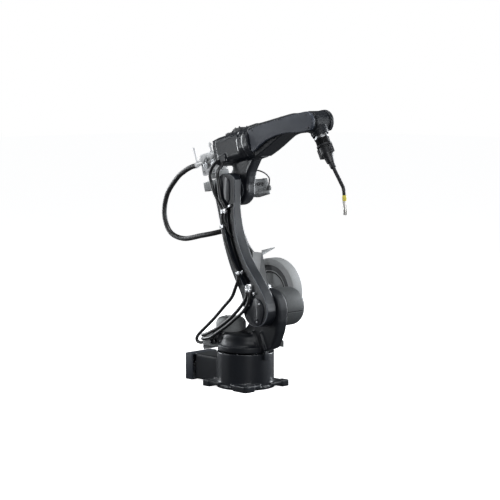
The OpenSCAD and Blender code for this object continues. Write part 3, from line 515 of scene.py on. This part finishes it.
for key, bodies, n in (("conduit_loop", ("elbow", "upper_arm"), "conduit_upper"),
                       ("conduit_drop", ("upper_arm", "turret"), "conduit_lower")):
    ob = hose(key, 0.026, bodies, [n], n=28)
    ob.data.materials.clear()
    ob.data.materials.append(SHEATH)
hose("harness_a", 0.017, ("turret", "upper_arm"), ["base_harness"])
hose("harness_b1", 0.017, ("turret", "upper_arm"), ["base_harness"])
hose("harness_b2", 0.017, ("turret", "upper_arm"), ["base_harness"])
hose("elbow_hose_1", 0.017, ("elbow", "upper_arm"), ["elbow_cables"])
hose("elbow_hose_2", 0.017, ("elbow", "upper_arm"), ["elbow_cables"])
hose("arm_lead_1", 0.011, ("upper_arm",), ["arm_cables"])
hose("arm_lead_2", 0.009, ("upper_arm",), ["arm_cables"])
hose("motor_lead", 0.007, ("elbow",), ["j3_motor_cable"])

# ---------------------------------------------------------------- castings
def ramp(v, a, b):
    return max(0.0, min(1.0, (v - a) / (b - a)))


cast("base_casting", voxel=0.0028, rounds=2,
     zones=[(40, lambda c: ramp(-c.x, 0.09, 0.12) * ramp(c.z, 0.03, 0.05) * ramp(0.29, -c.x, -c.x + 0.02))])
cast("turret_casting", voxel=0.0030, rounds=4,
     zones=[(70, lambda c: ramp(c.z, 0.225, 0.25) * ramp(c.x, 0.0, 0.04)),
            (30, lambda c: ramp(c.z, 0.212, 0.225) * ramp(-c.x, -0.02, 0.02))])
cast("upper_arm_casting", voxel=0.0026, rounds=4)
cast("elbow_casting", voxel=0.0028, rounds=12,
     zones=[(60, lambda c: ramp(1.16, c.z, c.z + 0.05))])
cast("elbow_rear_cover", voxel=0.0020, rounds=8)
cast("forearm_casting", voxel=0.0024, rounds=8)
cast("wrist_housing", voxel=0.0018, rounds=5)
cast("torch_mount", voxel=0.0011, rounds=4)

# ---------------------------------------------------------------- machined, moulded and sheet pieces
for n, w in {
    "rear_panel": 0.003, "base_connectors": 0.001, "j1_motor_cover": 0.0015, "cable_entry_bracket": 0.0008,
    "cable_glands": 0.0008, "turret_stop": 0.0015, "j2_cover_upper": 0.0016, "j2_cover_lower": 0.0016,
    "spool_bracket": 0.0009, "spool_cover": 0.0016, "spool_axle": 0.001,
    "j2_arm_cap": 0.0016, "j3_arm_cap": 0.0016, "cable_clamps": 0.0006, "arm_fittings": 0.0008,
    "elbow_top_plates": 0.0014, "j3_motor": 0.0016, "feeder_bracket": 0.0014, "feeder_plate": 0.0008,
    "feeder_motor": 0.0010, "feeder_guides": 0.0005, "drive_roll_front": 0.0006, "drive_roll_rear": 0.0006,
    "pressure_roll_front": 0.0006, "pressure_roll_rear": 0.0006, "pressure_arm_front": 0.0006,
    "pressure_arm_rear": 0.0006, "tension_lever_front": 0.0012, "tension_lever_rear": 0.0012,
    "forearm_near_cover": 0.0045, "forearm_far_cover": 0.003, "tool_flange": 0.0008,
    "swan_neck": 0.0006, "insulator_ring": 0.0010, "gas_nozzle": 0.0007, "contact_tip": 0.0005,
    }.items():
    crisp(n, w, segments=4 if n in ("forearm_near_cover", "forearm_far_cover") else 2)

# the J1 cover, the rear panel and the upper arm take paints with painted light in them: a lighter cover copy, a
# lighter panel paint and a painted edge highlight
for n, mat in {"j1_motor_cover": GREY_COVER_PAINTED_LIGHTER, "cable_entry_bracket": GREY_COVER_PAINTED_LIGHTER, "feeder_plate": PALE_METAL,
               "feeder_guides": PALE_METAL, "tension_lever_front": PALE_METAL,
               "tension_lever_rear": PALE_METAL, "pressure_arm_front": PALE_METAL,
               "pressure_arm_rear": PALE_METAL, "j3_motor": MOTOR_GREY, "rear_panel": PANEL_PAINT_LIT,
               "turret_casting": DULL_BLACK, "forearm_casting": DULL_BLACK, "wrist_housing": DULL_BLACK,
               "upper_arm_casting": ARM_PAINT_EDGE_HIGHLIGHT}.items():
    me = (bpy.data.objects.get(n + "_finished") or bpy.data.objects[n + "_cast"]).data
    me.materials.clear()
    me.materials.append(mat)

# ---------------------------------------------------------------- wire spool
SPOOL = Matrix.Translation(DRUM) @ Matrix.Rotation(math.radians(-90), 4, "X")


def flange(bm, z0, z1, lip):
    """One flange: hub seat, raised ring, rolled rim."""
    s = 1 if z1 > z0 else -1
    turn(bm, [(0.0249, z0), (0.0249, z1 + s * 0.0015), (0.034, z1 + s * 0.0015), (0.036, z1), (0.092, z1),
              (0.094, z1 + s * 0.0012), (0.096, z1 + s * lip), (0.101, z1 + s * lip),
              (0.103, z1 + s * 0.0008), (0.105, z1), (0.1445, z1), (0.1465, z1 + s * 0.0008),
              (0.148, z1 - s * 0.0005), (0.148, z0 + s * 0.0005), (0.1465, z0), (0.0249, z0)], SPOOL, 96)


bm = bmesh.new()
flange(bm, 0.1838, 0.1800, 0.0030)
flange(bm, 0.2300, 0.2338, 0.0)
turn(bm, [(0.0249, 0.1836), (0.052, 0.1836), (0.052, 0.2302), (0.0249, 0.2302), (0.0249, 0.1836)], SPOOL, 64)
for k in range(6):
    a = math.radians(30 + 60 * k)
    m = SPOOL @ Matrix.Rotation(a, 4, "Z") @ Matrix.Translation((0.062, 0, 0.1795)) @ Matrix.Rotation(math.pi, 4, "X")
    plate(bm, rounded(-0.022, -0.003, 0.022, 0.003, 0.0028), 0.0016, m, edge=0.0005)
ob = link("wire_spool_moulded", bm, "spool_plastic", "spool", angle=30)
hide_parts("wire_spool")
# painted shade: a dark grey ring on the near flange stands in for the shade inside the drum's window
bm = bmesh.new()
turn(bm, [(0.1065, 0.1799), (0.1065, 0.1792), (0.1425, 0.1792), (0.1425, 0.1799), (0.1065, 0.1799)], SPOOL, 96)
link("wire_spool_label_ring", bm, "spool_plastic", "spool", angle=30, mat=SHADE_GREY)
# painted shade: a black ring over the flange's raised rim stands in for the dark groove line round it
bm = bmesh.new()
turn(bm, [(0.0955, 0.1772), (0.0955, 0.1764), (0.1015, 0.1764), (0.1015, 0.1772), (0.0955, 0.1772)], SPOOL, 96)
link("wire_spool_edge_ring", bm, "spool_plastic", "spool", angle=30, mat=RIM_SHADE_BLACK)

# wound wire: the grooves of the top layer
prof = [(0.0525, 0.1842)]
n_wind = 30
for k in range(n_wind + 1):
    z = 0.1846 + (0.2296 - 0.1846) * k / n_wind
    prof.append((0.1370, z))
    if k < n_wind:
        prof.append((0.1379, z + 0.25 * 0.045 / n_wind))
        prof.append((0.1379, z + 0.75 * 0.045 / n_wind))
prof += [(0.0525, 0.2298), (0.0525, 0.1842)]
bm = bmesh.new()
turn(bm, prof, SPOOL, 96)
ob = link("spool_wire_wound", bm, "wire_copper", BODY_OF["spool_wire"], angle=60)
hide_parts("spool_wire")

# ---------------------------------------------------------------- bellows of the collision sensor
prof = [(0.0, 0.0882), (0.0335, 0.0882), (0.0352, 0.0890), (0.0358, 0.0905), (0.0352, 0.0925)]
z = 0.0940
for k in range(4):
    prof += [(0.0290, z), (0.0284, z + 0.0009), (0.0290, z + 0.0018), (0.0340, z + 0.0036),
             (0.0346, z + 0.0044), (0.0340, z + 0.0052)]
    z += 0.0058
prof += [(0.0300, 0.1174), (0.0285, 0.1185), (0.0285, 0.1197), (0.0, 0.1197)]
bm = bmesh.new()
turn(bm, prof, TOOL, 56)
ob = link("collision_boot_bellows", bm, SLOT_OF["collision_boot"], BODY_OF["collision_boot"], angle=55)
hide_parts("collision_boot")

# ---------------------------------------------------------------- fasteners, set on the surfaces by ray
from mathutils.bvhtree import BVHTree

TREES = {}


def surface(n, p, d):
    """Where a ray from p along d meets the CAD piece n, in metres."""
    if n not in TREES:
        me = NODES[n].data
        TREES[n] = BVHTree.FromPolygons([NODES[n].matrix_world @ v.co for v in me.vertices],
                                        [list(q.vertices) for q in me.polygons])
    loc, nor, _, _ = TREES[n].ray_cast(Vector(p), Vector(d).normalized())
    return loc, nor


def screws(name, n, spots, d, r, kind="cap", body=None, slot="steel", start=0.3):
    """Screws on piece n at these points, driven along d."""
    bm = bmesh.new()
    d = Vector(d).normalized()
    count = 0
    for p in spots:
        loc, nor = surface(n, Vector(p) - d * start, d)
        if loc is None:
            continue
        (hex_head if kind == "hex" else cap_screw)(bm, loc, -d, r)
        count += 1
    if count:
        link(name, bm, slot, body or BODY_OF[n], angle=35)
    else:
        bm.free()


def circle(c, r, n, plane="xz", a0=0.0):
    out = []
    for k in range(n):
        a = math.radians(a0) + 2 * math.pi * k / n
        u, v = r * math.cos(a), r * math.sin(a)
        out.append(Vector(c) + (Vector((u, 0, v)) if plane == "xz" else Vector((u, v, 0))))
    return out


DARK = "motor_black"
screws("screws_j2_cap", "j2_arm_cap", [(0.178, -0.1, 0.352), (0.122, -0.1, 0.430), (0.196, -0.1, 0.442)],
       (0, 1, 0), 0.0042)
screws("screws_j3_cap", "j3_arm_cap", [(-0.098, -0.1, 0.935), (-0.028, -0.1, 0.935), (-0.098, -0.1, 1.040),
                                       (-0.028, -0.1, 1.040)], (0, 1, 0), 0.0038, slot=DARK)
screws("screws_j1_cover", "j1_motor_cover", [(-0.095 + 0.045 * math.cos(math.radians(a)), -0.010 + 0.045 *
       math.sin(math.radians(a)), 0.34) for a in (-70, 50, 170)], (0, 0, -1), 0.0030, slot=DARK)
screws("screws_cover_far", "j2_cover_upper", circle((0.162, 0.172, 0.408), 0.062, 6, a0=30), (0, -1, 0),
       0.0035, slot=DARK)
screws("screws_cover_far_low", "j2_cover_lower", circle((0.162, 0.172, 0.408), 0.062, 6, a0=30), (0, -1, 0),
       0.0035, slot=DARK)
screws("screws_web", "turret_casting", circle((0.162, 0.036, 0.408), 0.082, 10), (0, -1, 0), 0.0045, slot=DARK)
screws("screws_foot_ring", "base_casting", circle((0, 0, 0.178), 0.139, 10, "xy", 9), (0, 0, -1), 0.0035,
       slot=DARK, start=0.02)
screws("screws_rear_panel", "rear_panel", [(-0.36, y, z) for y in (-0.080, 0.080) for z in (0.016, 0.124)],
       (1, 0, 0), 0.0038)
along = Vector((math.cos(PITCH), 0, math.sin(PITCH)))
up = Vector((-math.sin(PITCH), 0, math.cos(PITCH)))
foot = J4
for side, n in ((-1, "forearm_near_cover"), (1, "forearm_far_cover")):
    pts = [foot + along * a + up * b + Vector((0, side * 0.07, 0)) for a, b in
           ((0.235, 0.048), (0.235, -0.048), (0.60, 0.030), (0.60, -0.030), (0.42, 0.055), (0.42, -0.045))]
    screws("screws_" + n, n, pts, (0, -side, 0), 0.0032, slot=DARK)
screws("screws_forearm_top", "forearm_casting", [foot + along * a + up * 0.1 + Vector((0, y, 0)) for a in
       (0.25, 0.40) for y in (-0.030, 0.030)], -up, 0.0042, slot=DARK)
screws("screws_top_plates", "elbow_top_plates", [(x, y, 1.29) for x in (-0.095, -0.066, -0.045, -0.018)
       for y in (-0.026, 0.026)], (0, 0, -1), 0.0036, slot=DARK)
screws("screws_rear_cover", "elbow_rear_cover", [(-0.17, y, z) for y in (-0.058, 0.058) for z in
       (1.118, 1.224)], (1, 0, 0), 0.0036, slot=DARK)
screws("screws_elbow_side", "elbow_casting", circle((-0.044, -0.088, 0.989), 0.052, 8), (0, 1, 0), 0.004,
       slot=DARK)
screws("screws_elbow_far", "j3_motor", [(-0.035 + sx * 0.036, 0.17, 0.989 + sz * 0.032) for sx in (-1, 1)
       for sz in (-1, 1)], (0, -1, 0), 0.003, slot=DARK)
screws("screws_feeder", "feeder_plate", [(-0.318, -0.04, 1.075), (-0.160, -0.04, 1.118), (-0.30, -0.04, 1.06),
       (-0.170, -0.04, 1.170), (-0.250, -0.04, 1.062), (-0.185, -0.04, 1.075)], (0, 1, 0), 0.0040)
screws("screws_flange", "tool_flange", [TOOL @ Vector((0.030 * math.cos(a), 0.030 * math.sin(a), 0.0875))
       for a in [2 * math.pi * k / 8 for k in range(8)]], TOOL.to_3x3() @ Vector((0, 0, -1)), 0.0022,
       slot="steel", start=0.0)
screws("screws_wrist", "wrist_housing", [J5 + Vector((0.040 * math.cos(a), -0.05, 0.040 * math.sin(a)))
       for a in [2 * math.pi * k / 6 + 0.3 for k in range(6)]], (0, 1, 0), 0.003, slot=DARK)
screws("screws_spool_bracket", "spool_bracket", [(-0.05, 0.3, 0.235), (0.0, 0.3, 0.235), (0.05, 0.3, 0.235)],
       (0, -1, 0), 0.0045)

# plugs, raised screwed plates and cooling ribs of the elbow motor
bm = bmesh.new()
for y, z, w, h, t in ((0.064, 1.004, 0.030, 0.024, 0.0035), (0.064, 0.972, 0.030, 0.016, 0.0022)):
    loc, nor = surface("j3_motor", (0.3, y, z), (-1, 0, 0))
    if loc:
        m = facing(loc - Vector((0.0005, 0, 0)), (1, 0, 0))
        plate(bm, rounded(-w / 2, -h / 2, w / 2, h / 2, 0.003), t, m, edge=0.0006)
        for sx in (-1, 1):
            for sy in (-1, 1):
                turn(bm, [(0, t), (0.0016, t), (0.0014, t + 0.0008), (0, t + 0.0008)],
                     m @ Matrix.Translation((sx * (w / 2 - 0.004), sy * (h / 2 - 0.004), 0)), 12)
for y in (0.100, 0.124):
    loc, nor = surface("j3_motor", (0.3, y, 1.012), (-1, 0, 0))
    if loc:
        turn(bm, [(0, -0.001), (0.0095, -0.001), (0.0095, 0.003), (0.0085, 0.004), (0.0070, 0.004),
                  (0.0068, 0.0015), (0, 0.0015)], facing(loc, (1, 0, 0)), 28)
link("j3_motor_plugs", bm, "motor_black", "elbow", angle=35)
bm = bmesh.new()
for k in range(7):
    z = 0.948 + 0.0065 * k
    loc, nor = surface("j3_motor", (0.3, 0.118, z), (-1, 0, 0))
    if loc:
        plate(bm, rounded(-0.030, -0.0011, 0.030, 0.0011, 0.001, 3), 0.0022,
              facing(loc - Vector((0.0004, 0, 0)), (1, 0, 0)), edge=0.0005)
link("j3_motor_ribs", bm, SLOT_OF["j3_motor"], "elbow", angle=35, mat=MOTOR_GREY)

# nuts of the roll shafts of the feeder
for i, n in enumerate(("drive_roll_front", "drive_roll_rear", "pressure_roll_front", "pressure_roll_rear")):
    lo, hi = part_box(n)
    c = Vector(((lo[0] + hi[0]) / 2, lo[1], (lo[2] + hi[2]) / 2))
    bm = bmesh.new()
    m = facing(c + Vector((0, 0.0002, 0)), (0, -1, 0))
    turn(bm, [(0, 0), (0.0095, 0), (0.0095, 0.0012), (0.0085, 0.0018), (0.0040, 0.0018), (0.0036, 0.0030),
              (0, 0.0034)], m, 28)
    for k in range(12):
        a = 2 * math.pi * k / 12
        plate(bm, rounded(-0.0006, -0.0016, 0.0006, 0.0016, 0.0005, 2), 0.0008,
              m @ Matrix.Translation((0.0118 * math.cos(a), 0.0118 * math.sin(a), 0)) @ Matrix.Rotation(a, 4, "Z"),
              edge=0.0002)
    link(n + "_nut", bm, SLOT_OF[n], BODY_OF[n], angle=35)

# dark rings round the screws and bosses of the feeder plate: painted shade standing in for the bores
bm = bmesh.new()
for x, z, r in ((-0.322, 1.086, 0.0085), (-0.300, 1.062, 0.0075), (-0.262, 1.066, 0.0090), (-0.228, 1.074, 0.0070),
                (-0.196, 1.078, 0.0090), (-0.168, 1.090, 0.0080), (-0.318, 1.140, 0.0080), (-0.290, 1.152, 0.0070),
                (-0.248, 1.172, 0.0075), (-0.176, 1.150, 0.0085), (-0.160, 1.172, 0.0070)):
    loc, nor = surface("feeder_plate", (x, -0.3, z), (0, 1, 0))
    if loc and loc.y > -0.006:
        m = facing(loc + Vector((0, 0.0003, 0)), (0, -1, 0))
        turn(bm, [(r * 0.62, 0), (r * 0.62, 0.0011), (r * 0.70, 0.0016), (r * 0.94, 0.0016), (r, 0.0010), (r, 0)], m, 30)
link("feeder_plate_bores", bm, SLOT_OF["feeder_plate"], "elbow", angle=40, mat=SHADE_GREY)

# a pale bead along the front edge of the upper arm and round its shoulder boss: a painted highlight where this edge
# catches the light
flank = [Vector((162 + 84 * math.cos(math.radians(a)), 0, 408 + 84 * math.sin(math.radians(a)))) / 1000
         for a in range(-120, 1, 8)]
flank += spline([(x, 0, z) for x, z in (
    (245.5, 414), (239, 446), (226, 474), (205, 505), (175, 543), (147, 576), (123, 603), (103, 629), (85, 656),
    (69, 684), (55, 712), (43, 739), (33, 766), (25, 794), (20, 826), (17.5, 866), (17, 930))], 2)
ridge = []
for i, q in enumerate(flank):
    t = (flank[min(i + 1, len(flank) - 1)] - flank[max(i - 1, 0)]).normalized()
    ridge.append(Vector((q.x - 0.0034 * t.z, -0.0945, q.z + 0.0034 * t.x)))
bead = tube("upper_arm_edge", ridge, 0.0030, "black_paint", "upper_arm", n=10)
bead.data.materials.clear()
bead.data.materials.append(HIGHLIGHT_BEAD_PAINT)

# rounded blend between the connector box and the column
for side in (-1, 1):
    bm = bmesh.new()
    rc, rf, yb = 0.143, 0.034, 0.074
    cy = side * (yb + rf)
    cx = -math.sqrt((rc + rf) ** 2 - (yb + rf) ** 2)
    a0 = math.atan2(-cy, -cx)
    a1 = -side * math.pi / 2
    d = (a1 - a0 + math.pi) % (2 * math.pi) - math.pi
    arc_pts = [(cx + rf * math.cos(a0 + d * k / 12), cy + rf * math.sin(a0 + d * k / 12)) for k in range(13)]
    a_in = (arc_pts[-1][0], arc_pts[-1][1] - side * 0.006)
    b_in = (arc_pts[0][0] * 0.95, arc_pts[0][1] * 0.95)
    out = [b_in] + arc_pts + [a_in]
    lo = [bm.verts.new((x, y, 0.030)) for x, y in out]
    hi = [bm.verts.new((x, y, 0.1355)) for x, y in out]
    for k in range(len(out)):
        j = (k + 1) % len(out)
        bm.faces.new((lo[k], lo[j], hi[j], hi[k]))
    bm.faces.new(hi)
    bm.faces.new(list(reversed(lo)))
    bmesh.ops.recalc_face_normals(bm, faces=bm.faces)
    link("base_blend_" + ("near" if side < 0 else "far"), bm, SLOT_OF["base_casting"], "base", angle=50)

# ---------------------------------------------------------------- stage and light
bm = bmesh.new()
R = 30
bmesh.ops.create_grid(bm, x_segments=8, y_segments=8, size=R)
me = bpy.data.meshes.new("floor")
bm.to_mesh(me)
bm.free()
floor = bpy.data.objects.new("floor", me)
bpy.context.scene.collection.objects.link(floor)
floor_mat = finish_of("floor_paper", (0.93, 0.93, 0.93), 0.85, vary=0.01, vary_scale=2, grain=300,
                      grain_depth=0.05, specular=0.1)
me.materials.append(floor_mat)
ft = floor_mat.node_tree
fb = ft.nodes["Principled BSDF"]
fb.inputs["Emission Color"].default_value = (1, 1, 1, 1)
fb.inputs["Emission Strength"].default_value = 0.90
dim = ft.nodes.new("ShaderNodeBsdfDiffuse")
dim.inputs["Color"].default_value = (0.10, 0.10, 0.105, 1)
ray = ft.nodes.new("ShaderNodeLightPath")
pick = ft.nodes.new("ShaderNodeMixShader")
ft.links.new(ray.outputs["Is Camera Ray"], pick.inputs["Fac"])
ft.links.new(dim.outputs[0], pick.inputs[1])
ft.links.new(fb.outputs[0], pick.inputs[2])
ft.links.new(pick.outputs[0], ft.nodes["Material Output"].inputs["Surface"])

world = bpy.data.worlds.new("studio")
bpy.context.scene.world = world
world.use_nodes = True
wt = world.node_tree
wt.nodes.clear()
wo = wt.nodes.new("ShaderNodeOutputWorld")
lp = wt.nodes.new("ShaderNodeLightPath")
b_cam = wt.nodes.new("ShaderNodeBackground")
b_cam.inputs["Color"].default_value = (1, 1, 1, 1)
b_cam.inputs["Strength"].default_value = 1.0
b_env = wt.nodes.new("ShaderNodeBackground")
b_env.inputs["Color"].default_value = (0.93, 0.96, 1.0, 1)
b_env.inputs["Strength"].default_value = 0.10
mixw = wt.nodes.new("ShaderNodeMixShader")
wt.links.new(lp.outputs["Is Camera Ray"], mixw.inputs["Fac"])
wt.links.new(b_env.outputs[0], mixw.inputs[1])
wt.links.new(b_cam.outputs[0], mixw.inputs[2])
wt.links.new(mixw.outputs[0], wo.inputs["Surface"])

to_cam = Vector((math.sin(az), -math.cos(az), 0))
right = Vector((math.cos(az), math.sin(az), 0))


def area(name, angle, dist, height, size, power, colour=(1, 1, 1), target=(0, 0, 0.75)):
    """A soft box at this angle round from the camera, positive to the right."""
    a = math.radians(angle)
    d = to_cam * math.cos(a) + right * math.sin(a)
    light = bpy.data.lights.new(name, "AREA")
    light.shape = "RECTANGLE"
    light.size, light.size_y = size
    light.energy = power
    light.color = colour
    ob = bpy.data.objects.new(name, light)
    ob.location = Vector((0, 0, 0)) + d * dist + Vector((0, 0, height))
    ob.rotation_euler = (Vector(target) - ob.location).to_track_quat("-Z", "Y").to_euler()
    bpy.context.scene.collection.objects.link(ob)
    return ob


area("box_left", -126, 3.2, 1.1, (1.0, 2.6), 85, (0.94, 0.97, 1.0))
area("strip_left", -84, 3.4, 1.1, (0.30, 2.6), 22, (0.94, 0.97, 1.0))
area("box_right", 122, 3.2, 1.1, (1.3, 2.6), 110, (0.92, 0.96, 1.0))
area("strip_right", 84, 3.6, 1.2, (0.45, 2.6), 24, (0.92, 0.96, 1.0))
area("box_top", 20, 0.6, 3.8, (1.4, 1.4), 62, (0.96, 0.98, 1.0))
area("strip_front", 14, 4.6, 1.6, (0.22, 2.4), 60, (0.96, 0.98, 1.0))
area("box_front", 40, 4.5, 2.6, (1.0, 1.0), 34, (0.96, 0.98, 1.0))

bpy.context.scene.view_settings.view_transform = "Standard"
bpy.context.scene.view_settings.look = "None"

bpy.context.view_layer.update()
